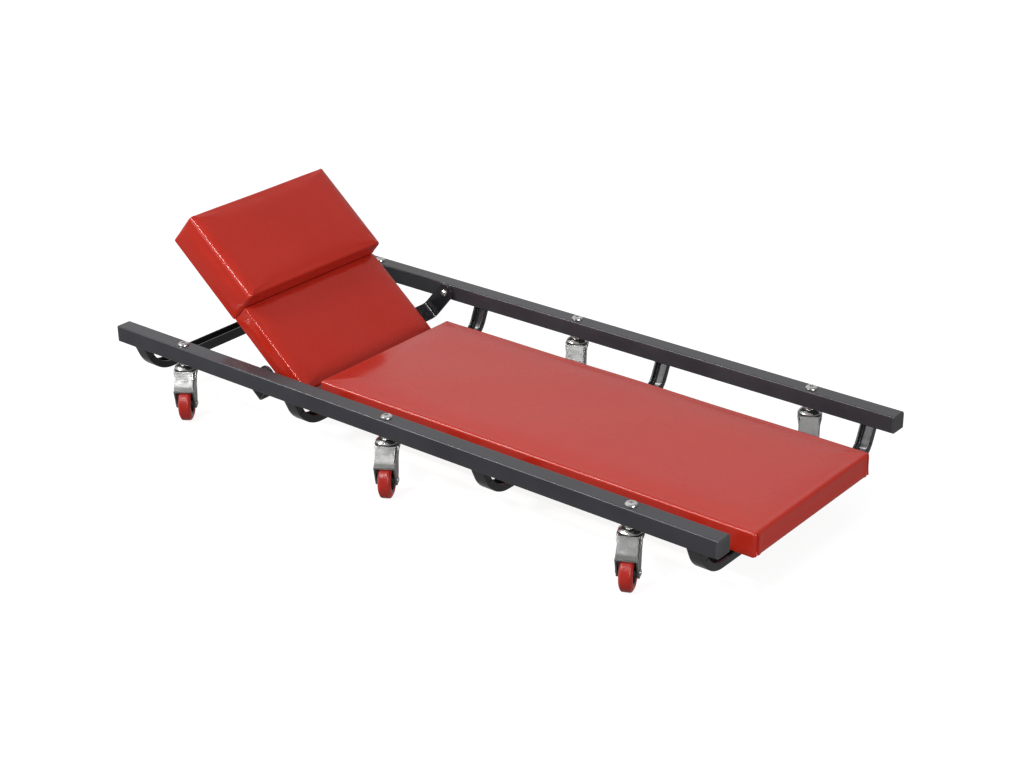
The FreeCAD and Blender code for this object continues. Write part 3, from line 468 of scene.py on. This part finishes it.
def run_cloth(obj, pin, pressure, cap, bending=0.8, frames=20):
    """Inflates the shell with Cloth, keeps the result within cap of the start."""
    mesh = obj.data
    n = len(mesh.vertices)
    start = np.empty(n * 3)
    mesh.vertices.foreach_get("co", start)
    start = start.reshape(-1, 3)
    vg = obj.vertex_groups.new(name="pin")
    for i in range(n):
        if pin[i] > 0:
            vg.add([i], float(pin[i]), "REPLACE")
    mod = obj.modifiers.new("cloth", "CLOTH")
    st = mod.settings
    st.quality = 6
    st.mass = 0.25
    st.tension_stiffness = 18
    st.compression_stiffness = 18
    st.shear_stiffness = 8
    st.bending_stiffness = bending
    st.use_pressure = True
    st.uniform_pressure_force = pressure
    st.vertex_group_mass = "pin"
    st.pin_stiffness = 1.0
    st.effector_weights.gravity = 0.0
    mod.collision_settings.use_collision = False
    mod.collision_settings.use_self_collision = False
    mod.point_cache.frame_start = 1
    mod.point_cache.frame_end = frames
    for f in range(1, frames + 1):
        scene.frame_set(f)
    dg = bpy.context.evaluated_depsgraph_get()
    ev = obj.evaluated_get(dg)
    me = ev.to_mesh()
    end = np.empty(n * 3)
    me.vertices.foreach_get("co", end)
    ev.to_mesh_clear()
    end = end.reshape(-1, 3)
    obj.modifiers.remove(mod)
    obj.vertex_groups.clear()
    d = end - start
    L = np.linalg.norm(d, axis=1)
    scale = np.where(L > 1e-12, cap * np.tanh(L / cap) / np.maximum(L, 1e-12), 0.0)
    out = start + d * scale[:, None]
    mesh.vertices.foreach_set("co", out.ravel())
    mesh.update()
    scene.frame_set(1)
    print("cloth", obj.name, "moved max %.2f mm" % (np.abs(d * scale[:, None]).max() * 1000))
    return out


def subdivide(obj, levels=1):
    mod = obj.modifiers.new("sub", "SUBSURF")
    mod.levels = levels
    mod.render_levels = levels
    dg = bpy.context.evaluated_depsgraph_get()
    ev = obj.evaluated_get(dg)
    me = bpy.data.meshes.new_from_object(ev)
    obj.modifiers.remove(mod)
    old = obj.data
    obj.data = me
    name = old.name
    bpy.data.meshes.remove(old)
    me.name = name
    me.polygons.foreach_set("use_smooth", [True] * len(me.polygons))
    return me


def get_co(mesh):
    a = np.empty(len(mesh.vertices) * 3)
    mesh.vertices.foreach_get("co", a)
    return a.reshape(-1, 3)


def set_co(mesh, a):
    mesh.vertices.foreach_set("co", np.ascontiguousarray(a).ravel())
    mesh.update()


def get_no(mesh):
    a = np.empty(len(mesh.vertices) * 3)
    mesh.vertices.foreach_get("normal", a)
    return a.reshape(-1, 3)


IDENT = Matrix.Identity(4)
TILT = Matrix.Translation(Vector((-0.238, 0, 0.096))) @ Matrix.Rotation(math.radians(40.0), 4, "Y")


def apply_matrix(obj, m):
    a = get_co(obj.data)
    R = np.array(m.to_3x3())
    t = np.array(m.translation)
    set_co(obj.data, a @ R.T + t)


def gauss(x, s):
    return np.exp(-(x / s) ** 2)


def hem_ring(lo, hi, z0, z1, seed):
    """The cover's hem folded under the board: a flat ring with a hand-cut wavy inner edge."""
    (x0, y0), (x1, y1) = lo, hi
    r = np.random.default_rng(seed + 50)
    pts = []
    corners = [((x0, y0), (1, 1)), ((x1, y0), (-1, 1)), ((x1, y1), (-1, -1)), ((x0, y1), (1, -1))]
    for i in range(4):
        (ax, ay), (asx, asy) = corners[i]
        (bx, by), (bsx, bsy) = corners[(i + 1) % 4]
        n = int(round(math.hypot(bx - ax, by - ay) / 0.004))
        ph = r.uniform(0, 6.28, 3)
        for j in range(n):
            t = j / n
            d = min(t, 1 - t) * math.hypot(bx - ax, by - ay)
            wave = (0.0016 * math.sin(t * n * 0.23 + ph[0]) + 0.0011 * math.sin(t * n * 0.61 + ph[1]) + 0.0005 * math.sin(t * n * 1.7 + ph[2])) * min(1, d / 0.03)
            pts.append(((ax + (bx - ax) * t, ay + (by - ay) * t), (asx + (bsx - asx) * t, asy + (bsy - asy) * t), 0.026 + wave, d))
    V, F = [], []
    m = 8
    for (px, py), (qx, qy), w, d in pts:
        # mitred: both inward directions at a corner, one along a side
        fx = qx if abs(qx) == 1 and abs(qy) != 1 else (qx if abs(qx) == 1 else 0)
        fy = qy if abs(qy) == 1 else 0
        pucker = 0.00012 * math.sin(d * 260)
        fold = 0.0005 * math.exp(-(d / 0.012) ** 2)
        dirx, diry = (fx, fy)
        rows = ((0.0011, z0 + 0.0003), (0.004, z0), (0.012, z0 - pucker - fold * 0.4), (w - 0.0006, z0 - fold), (w, z0 + 0.0003), (w, z1), (0.012, z1), (0.0011, z1))
        for off, z in rows:
            V.append((px + dirx * off, py + diry * off, z))
    # inner points of each side are squeezed towards the mitre
    V = np.array(V)
    n = len(pts)
    for i, ((px, py), (qx, qy), w, d) in enumerate(pts):
        for j in range(m):
            off = (0.0011, 0.004, 0.012, w - 0.0006, w, w, 0.012, 0.0011)[j]
            V[i * m + j, 0] = min(max(V[i * m + j, 0], x0 + off), x1 - off)
            V[i * m + j, 1] = min(max(V[i * m + j, 1], y0 + off), y1 - off)
    for i in range(n):
        a, b = i * m, ((i + 1) % n) * m
        for j in range(m):
            k2 = (j + 1) % m
            F.append((a + j, b + j, b + k2, a + k2))
    return V, F


def add_shell(obj, V, F):
    """Join a further closed shell to a piece."""
    me = obj.data
    base = get_co(me)
    faces = [tuple(p.vertices) for p in me.polygons]
    n = len(base)
    mats = [m for m in me.materials]
    new = bpy.data.meshes.new(me.name + "_joined")
    new.from_pydata(np.vstack([base, V]).tolist(), [], faces + [tuple(i + n for i in f) for f in F])
    new.update()
    for m in mats:
        new.materials.append(m)
    new.polygons.foreach_set("use_smooth", [True] * len(new.polygons))
    bm = bmesh.new()
    bm.from_mesh(new)
    bmesh.ops.recalc_face_normals(bm, faces=bm.faces)
    bm.to_mesh(new)
    bm.free()
    obj.data = new


def tube(path, radii, sides=8):
    """Closed tube along a polyline, its ends shut with flat caps."""
    P = np.array(path, float)
    n = len(P)
    T = np.gradient(P, axis=0)
    T /= np.linalg.norm(T, axis=1)[:, None] + 1e-12
    ref = np.array([0.0, 0.0, 1.0])
    V, F = [], []
    prev = None
    for i in range(n):
        t = T[i]
        a = np.cross(t, ref) if prev is None else prev - t * (prev @ t)
        if np.linalg.norm(a) < 1e-6:
            a = np.cross(t, (1.0, 0.0, 0.0))
        a = a / np.linalg.norm(a)
        b = np.cross(t, a)
        prev = a
        for j in range(sides):
            an = 2 * math.pi * j / sides
            V.append(P[i] + (a * math.cos(an) + b * math.sin(an)) * radii[i])
    for i in range(n - 1):
        for j in range(sides):
            k2 = (j + 1) % sides
            F.append((i * sides + j, i * sides + k2, (i + 1) * sides + k2, (i + 1) * sides + j))
    F.append(tuple(range(sides))[::-1])
    F.append(tuple((n - 1) * sides + j for j in range(sides)))
    return np.array(V), F


def bundle(name, shells, mat, body, matrix=None):
    V, F, n = [], [], 0
    for v, f in shells:
        V.append(v)
        F += [tuple(i + n for i in q) for q in f]
        n += len(v)
    obj = new_object(name, np.vstack(V), F, mat)
    if matrix is not None:
        apply_matrix(obj, matrix)
    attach(obj, body)
    return obj


def staple(x, y, z, ang, wire=0.00034, crown=0.0112):
    h = crown / 2
    prof = [(-h, 0.0016), (-h, 0.0006), (-h + 0.0003, 0.0001), (-h + 0.0009, -0.00014), (-h * 0.4, -0.0002), (h * 0.4, -0.0002), (h - 0.0009, -0.00014), (h - 0.0003, 0.0001), (h, 0.0006), (h, 0.0016)]
    c, s_ = math.cos(ang), math.sin(ang)
    return tube([(x + u * c, y + u * s_, z + w) for u, w in prof], [wire] * len(prof), 6)


def staple_row(lo, hi, z, seed, skip=()):
    (x0, y0), (x1, y1) = lo, hi
    r = np.random.default_rng(seed)
    out = []
    inset = 0.0155
    for a, b, fixed, axis in ((x0 + 0.03, x1 - 0.03, y0 + inset, 0), (x0 + 0.03, x1 - 0.03, y1 - inset, 0), (y0 + 0.035, y1 - 0.035, x0 + inset, 1), (y0 + 0.035, y1 - 0.035, x1 - inset, 1)):
        n = int(round((b - a) / 0.037))
        for i in range(n + 1):
            t = a + (b - a) * i / n + r.uniform(-0.004, 0.004)
            off = fixed + r.uniform(-0.0016, 0.0016)
            ang = r.uniform(-0.16, 0.16) + (0 if axis == 0 else math.pi / 2)
            x, y = (t, off) if axis == 0 else (off, t)
            if axis == 0 and any(p < x < q for p, q in skip):
                continue
            out.append(staple(x, y, z, ang))
    return out


def weld_bead(points, seed, radius=0.0015):
    """Stacked-ripple weld bead along a path of corner points."""
    r = np.random.default_rng(seed)
    P = [np.array(p, float) for p in points]
    path = []
    for a, b in zip(P[:-1], P[1:]):
        n = max(1, int(np.linalg.norm(b - a) / 0.0003))
        path += [a + (b - a) * i / n for i in range(n)]
    path.append(P[-1])
    path = np.array(path)
    ker = np.ones(5) / 5
    for ax in range(3):
        pad_ = np.concatenate([[path[0, ax]] * 2, path[:, ax], [path[-1, ax]] * 2])
        path[:, ax] = np.convolve(pad_, ker, "valid")
    s_ = np.arange(len(path)) * 0.0003
    wob = np.interp(s_, np.arange(0, s_[-1] + 0.004, 0.003), r.uniform(-1, 1, len(np.arange(0, s_[-1] + 0.004, 0.003))))
    rad = radius * (1 + 0.10 * np.sin(s_ * 2 * math.pi / 0.0016) + 0.12 * wob)
    end = np.minimum(s_, s_[-1] - s_)
    rad *= np.clip(np.sqrt(np.clip(end / 0.0014, 0.03, 1)), 0.15, 1)
    return tube(path, rad, 10)


def pad(name, nodes, body, lo, hi, r_top, r_end, matrix, cap, pressure, crown, step=0.008, pleat_ends=(), open_end=None, edge_roll=0.00010, seed=1, hem=None, sag=0.0, seam=None):
    """A foam pad under stretched vinyl, pulled down over its board.

    lo, hi: the box it fills, in its own frame. r_top: radius along the two long top edges.
    r_end: radii of the low and high X ends. pleat_ends: X ends with folded corners."""
    lo, hi = np.array(lo, float), np.array(hi, float)
    shrink = np.array([cap * 0.35, cap * 0.35, 0])
    slo, shi = lo + shrink, hi - shrink
    shi[2] -= crown * 0.5 + cap * 0.3
    if open_end == "lo":
        slo[0] = lo[0]
    if open_end == "hi":
        shi[0] = hi[0]
    kt = max(5, int(round(r_top / 0.0012)))
    X = lines(slo[0], shi[0], r_end[0], r_end[1], step, 5, 0.006, 0.0012)
    Y = lines(slo[1], shi[1], r_top, r_top, step, kt, 0.006, 0.0012)
    Z = lines(slo[2], shi[2], 0.002, r_top, 0.005, kt)
    V, F, K = box_shell(X, Y, Z)
    V = loft_box(V, slo, shi, r_top, 0.002, r_end[0], r_end[1])
    obj = new_object(name, V, F, M_VINYL)
    zb = slo[2]
    height = V[:, 2] - zb
    pin = np.where(height < 0.004, 1.0, np.where(height < 0.011, 0.35, 0.0))
    cx, cy = (lo[0] + hi[0]) / 2, (lo[1] + hi[1]) / 2
    hx, hy = (hi[0] - lo[0]) / 2, (hi[1] - lo[1]) / 2
    out = run_cloth(obj, pin, pressure, cap)
    me = subdivide(obj, 1)
    P = get_co(me)
    # analytic crown: full in the middle, none at the edges
    u = np.clip(np.abs(P[:, 0] - cx) / hx, 0, 1)
    v = np.clip(np.abs(P[:, 1] - cy) / hy, 0, 1)
    if open_end == "lo":
        u = np.where(P[:, 0] < cx, 0, u)
    if open_end == "hi":
        u = np.where(P[:, 0] > cx, 0, u)
    top = np.clip((P[:, 2] - (shi[2] - 0.012)) / 0.012, 0, 1)
    P[:, 2] += crown * (1 - u ** 5) * (1 - v ** 4) * top
    # the cover pulled tight leaves a slack roll just inside each edge
    dx = np.minimum(P[:, 0] - lo[0], hi[0] - P[:, 0])
    dy = np.minimum(P[:, 1] - lo[1], hi[1] - P[:, 1])
    if open_end == "lo":
        dx = hi[0] - P[:, 0]
    if open_end == "hi":
        dx = P[:, 0] - lo[0]
    e = np.minimum(dx, dy)
    P[:, 2] -= top * edge_roll * gauss(e - 0.011, 0.004)
    # soft unevenness of foam, and faint drag lines from the corners
    N = get_no(me)
    P += N * (smooth_noise(P, 38, seed) * 0.00035 * top)[:, None]
    corner = np.hypot(np.maximum(dx, 0), np.maximum(dy, 0))
    ang = np.arctan2(np.maximum(dy, 1e-6), np.maximum(dx, 1e-6))
    drag = np.sin(ang * 15 + seed) * gauss(corner - 0.028, 0.020) * 0.00012 * top
    P[:, 2] += drag
    # folded corners: the side panel wraps past the corner and the end panel tucks behind it
    for end in pleat_ends:
        ex = lo[0] if end == "lo" else hi[0]
        sx = 1.0 if end == "lo" else -1.0
        for sy in (-1, 1):
            ey = lo[1] if sy < 0 else hi[1]
            tx = (P[:, 0] - ex) * sx
            ty = (P[:, 1] - ey) * (1 if sy < 0 else -1)
            face = gauss(np.clip(tx - 0.002, 0, 1), 0.004)
            hgt = np.clip((P[:, 2] - lo[2]) / (hi[2] - lo[2]), 0, 1)
            lean = 0.0058 + 0.0012 * hgt
            groove = gauss(ty - lean, 0.00155) * face * np.clip((0.93 - hgt) / 0.16, 0, 1) * np.clip((hgt - 0.02) / 0.14, 0, 1)
            bulge = gauss(ty - lean - 0.0042, 0.0026) * face * np.clip((0.97 - hgt) / 0.2, 0, 1)
            P[:, 0] += sx * (groove * (0.0046 + 0.0020 * np.clip((hgt - 0.30) / 0.15, 0, 1)) - bulge * 0.0007)
            lip = gauss(ty - lean + 0.0026, 0.0016) * face * np.clip((0.95 - hgt) / 0.2, 0, 1)
            P[:, 0] -= sx * lip * 0.0005
    # the cover turns under the board; the middle of the underside lies hidden inside it
    hid = (P[:, 2] < zb + 0.0012) & (np.minimum(np.minimum(P[:, 0] - lo[0], hi[0] - P[:, 0]), np.minimum(P[:, 1] - lo[1], hi[1] - P[:, 1])) > 0.0045)
    if open_end == "lo":
        hid = (P[:, 2] < zb + 0.0012) & (np.minimum(hi[0] - P[:, 0], np.minimum(P[:, 1] - lo[1], hi[1] - P[:, 1])) > 0.0045)
    if open_end == "hi" or seam == "hi":
        hid = (P[:, 2] < zb + 0.0012) & (np.minimum(P[:, 0] - lo[0], np.minimum(P[:, 1] - lo[1], hi[1] - P[:, 1])) > 0.0045)
    if seam == "hi":
        hid |= (P[:, 2] < zb + 0.0030) & (P[:, 0] > hi[0] - 0.006) & (np.minimum(P[:, 1] - lo[1], hi[1] - P[:, 1]) > 0.0045)
    P[hid, 2] = zb + 0.005
    if sag:
        # outer lip of the cover hangs a little below the board, clear of the straps
        side = np.minimum(np.minimum(P[:, 1] - lo[1], hi[1] - P[:, 1]), hi[0] - P[:, 0])
        P[:, 2] -= sag * np.clip((0.0024 - side) / 0.0018, 0, 1) * np.clip((zb + 0.010 - P[:, 2]) / 0.008, 0, 1)
    set_co(me, P)
    if hem:
        add_shell(obj, *hem_ring(hem[0], hem[1], zb - 0.0002, zb + 0.0007, seed))
    apply_matrix(obj, matrix)
    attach(obj, body)
    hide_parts(*nodes)
    return obj


# bed pad
pad("bed_pad", ["bed_cushion"], "frame", (-0.1914, -0.1341, 0.0502), (0.5086, 0.1344, 0.0829),
    0.0042, (0.0036, 0.0042), IDENT, cap=0.0010, pressure=3.0, crown=0.0010,
    pleat_ends=("lo", "hi"), seed=3, sag=0.0017, hem=((-0.191, -0.1335), (0.508, 0.1335)))
# lower part of the backrest
pad("backrest_pad", ["backrest_cushion"], "backrest", (-0.108, -0.1341, -0.0453), (0.0424, 0.1344, -0.0134),
    0.0042, (0.001, 0.0042), TILT, cap=0.0010, pressure=3.0, crown=0.0009,
    pleat_ends=("hi",), open_end="lo", seed=5, hem=((-0.2550, -0.1335), (0.042, 0.1335)))
# thick headrest pillow
pad("headrest_pad", ["headrest_pillow"], "backrest", (-0.2550, -0.1352, -0.0468), (-0.108, 0.1348, 0.0116),
    0.0082, (0.0030, 0.0034), TILT, cap=0.0010, pressure=3.0, crown=0.0010,
    seed=9, seam="hi")

# wire staples through the hems into the boards
bundle("bed_staples", staple_row((-0.191, -0.1335), (0.508, 0.1335), 0.0499, 11, ((-0.205, -0.160), (0.121, 0.170), (0.443, 0.492))), M_STAPLE, "frame")
bundle("backrest_staples", staple_row((-0.2550, -0.1335), (0.042, 0.1335), -0.0456, 12, ((-0.024, 0.024), (-0.256, -0.216))), M_STAPLE, "backrest", TILT)

# weld beads where the straps meet the rails
beads = []
for i, cx in enumerate((-476.0, -180.0, 145.3, 467.5)):
    for s_ in (-1, 1):
        x0, x1 = (cx - 10.5) * MM, (cx + 10.5) * MM
        beads.append(weld_bead([(x0, s_ * 0.1962, 0.0836), (x0, s_ * 0.2056, 0.0836), (x0 + 0.0006, s_ * 0.2062, 0.0836), (x1 - 0.0006, s_ * 0.2062, 0.0836), (x1, s_ * 0.2056, 0.0836), (x1, s_ * 0.1962, 0.0836)], 100 + i * 2 + s_))
bundle("strap_welds", beads, M_WELD, "frame")

# ------------------------------------------------------------------- stage
floor = new_object("floor", [(-8, -8, -0.0004), (8, -8, -0.0004), (8, 8, -0.0004), (-8, 8, -0.0004)], [(0, 1, 2, 3)], M_CAP, smooth=False)
k = Mat("floor_pale")
k.color(k.ramp(k.noise(2.0, 2), [(0.3, (0.24, 0.24, 0.24)), (0.7, (0.26, 0.26, 0.26))]))
k.set(Roughness=0.8, Emission_Color=(1, 1, 1, 1), Emission_Strength=0.86)
floor.data.materials.clear()
floor.data.materials.append(k.m)
floor.visible_diffuse = False
floor.visible_glossy = False

world = bpy.data.worlds.new("studio")
scene.world = world
world.use_nodes = True
bg = world.node_tree.nodes["Background"]
wt = world.node_tree
wc = wt.nodes.new("ShaderNodeTexCoord")
wd = wt.nodes.new("ShaderNodeVectorMath")
wd.operation = "DOT_PRODUCT"
wd.inputs[1].default_value = (-0.75, 0.55, 0.37)
wr = wt.nodes.new("ShaderNodeMapRange")
wr.interpolation_type = "SMOOTHSTEP"
for key, value in (("From Min", 0.10), ("From Max", 1.0), ("To Min", 0.24), ("To Max", 0.68)):
    wr.inputs[key].default_value = value
wt.links.new(wc.outputs["Generated"], wd.inputs[0])
wt.links.new(wd.outputs["Value"], wr.inputs["Value"])
wt.links.new(wr.outputs[0], bg.inputs["Strength"])
bg.inputs[0].default_value = (1.0, 1.0, 1.0, 1)


def area(name, loc, target, size, power, color=(1, 1, 1), along=None):
    d = bpy.data.lights.new(name, "AREA")
    d.shape = "RECTANGLE"
    d.size, d.size_y = size
    d.energy = power
    d.color = color
    o = bpy.data.objects.new(name, d)
    scene.collection.objects.link(o)
    o.location = loc
    aim = (Vector(target) - Vector(loc)).normalized()
    o.rotation_euler = aim.to_track_quat("-Z", "Y").to_euler()
    if along:
        zx = -aim
        ax = Vector(along)
        ax = (ax - zx * ax.dot(zx)).normalized()
        ay = zx.cross(ax)
        o.rotation_euler = Matrix((ax, ay, zx)).transposed().to_euler()
    return o


area("top_softbox", (0.4, 0.0, 3.0), (0.1, 0, 0), (3.2, 2.6), 2)
area("key_left", (-1.77, -1.72, 2.50), (0, 0, 0.1), (1.6, 0.20), 42, along=(1.35, -0.24, 0.37))
area("front_left", (-1.5, -2.35, 1.5), (0, 0, 0.05), (1.7, 1.3), 33)
area("right_low", (3.4, -1.3, 1.3), (0, 0, 0.05), (1.9, 1.9), 76)
area("front_high", (0.22, -2.16, 2.02), (-0.3, -0.1, 0.17), (0.75, 0.17), 24, along=(0.8, -0.12, -0.6))
scene.view_settings.view_transform = "Standard"
scene.view_settings.look = "None"
